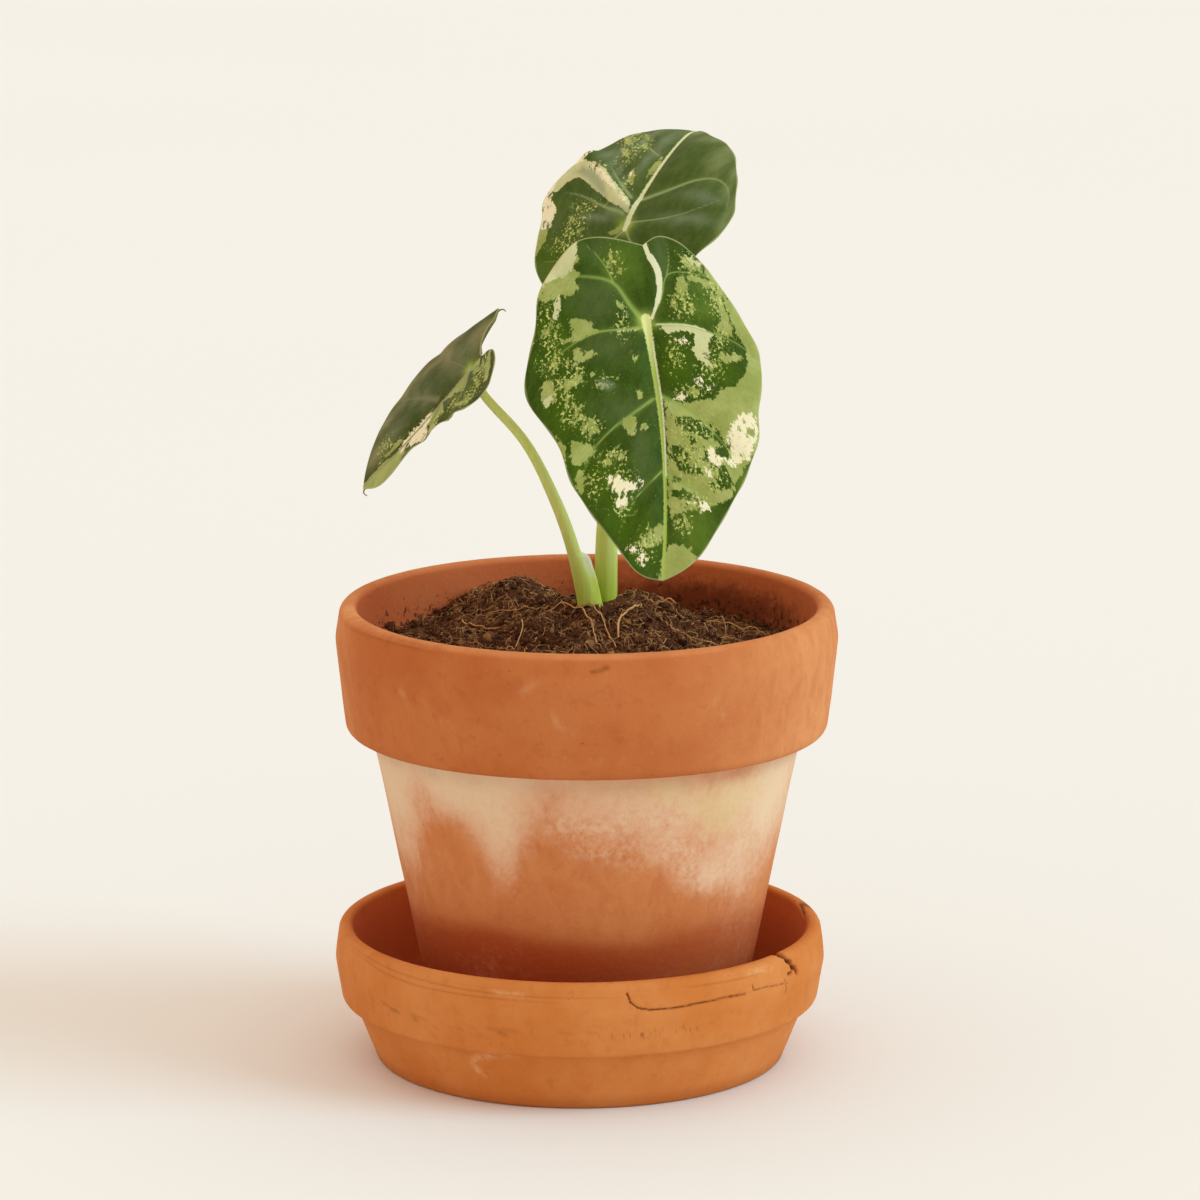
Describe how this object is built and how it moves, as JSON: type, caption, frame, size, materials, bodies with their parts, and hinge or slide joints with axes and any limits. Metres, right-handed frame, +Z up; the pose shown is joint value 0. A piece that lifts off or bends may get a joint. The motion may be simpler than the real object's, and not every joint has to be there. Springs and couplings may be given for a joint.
{
  "type": "potted alocasia",
  "caption": "Small variegated alocasia with heart-shaped leaves on slender stalks, in a rimmed clay pot filled with soil, standing in a clay saucer.",
  "frame": {"origin": "on the ground under the pot's axis, in the middle of the bounding box's bottom", "axes": "+Z up along the pot's axis, -Y towards the viewer, +X to the viewer's right"},
  "size_m": [0.1105, 0.1098, 0.2009],
  "materials": {
    "pot_clay": "unglazed fired clay, rough, with pale mineral bloom",
    "saucer_clay": "unglazed fired clay, smooth and dry",
    "potting_soil": "crumbly dark coir mix",
    "root": "pale fleshy root",
    "stalk": "smooth fresh green stalk, waxy",
    "leaf": "velvety dark green, splashed with cream and pale green"
  },
  "bodies": {
    "root": {"saucer": "saucer_clay", "pot": "pot_clay", "soil": "potting_soil", "rootstock": "root", "petiole_left": "stalk", "petiole_front": "stalk", "petiole_back": "stalk", "blade_left": "leaf", "blade_front": "leaf", "blade_back": "leaf"}
  },
  "joints": []
}
